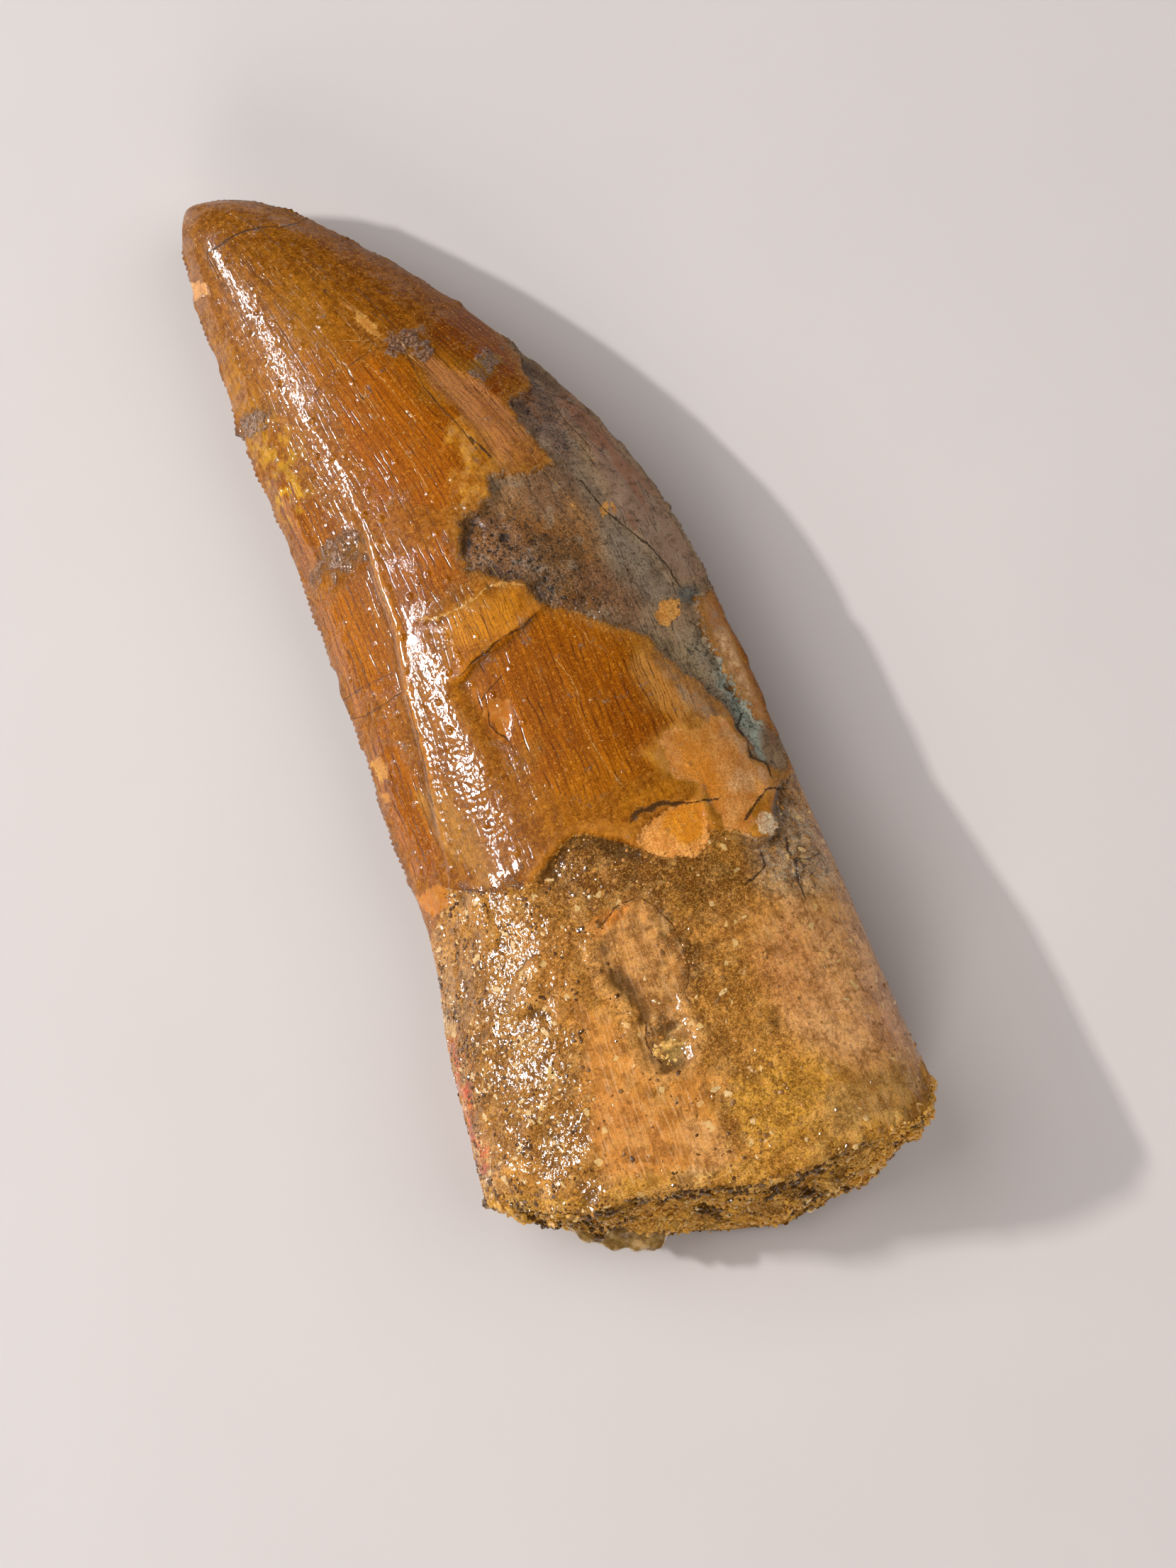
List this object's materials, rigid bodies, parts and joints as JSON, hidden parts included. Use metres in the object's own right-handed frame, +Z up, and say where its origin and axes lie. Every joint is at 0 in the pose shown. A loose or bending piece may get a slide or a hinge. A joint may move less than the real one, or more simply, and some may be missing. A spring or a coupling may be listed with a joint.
{
  "type": "fossil carcharodontosaurus tooth",
  "caption": "Curved blade-like fossil tooth with fine serrated edges, worn enamel and a broken root, lying on its flatter face.",
  "frame": {"origin": "middle of the underside of the tooth's box, on the surface that it lies on", "axes": "+Y from the broken root towards the tip, +X towards the long curved cutting edge, +Z up out of the face that the picture shows"},
  "size_m": [0.0352, 0.0866, 0.0141],
  "materials": {
    "fossil_tooth": "amber brown fossil enamel polished under a clear consolidant, grey rock in a hollow, sandy brown root"
  },
  "bodies": {
    "root": {"tooth": "fossil_tooth"}
  },
  "joints": []
}
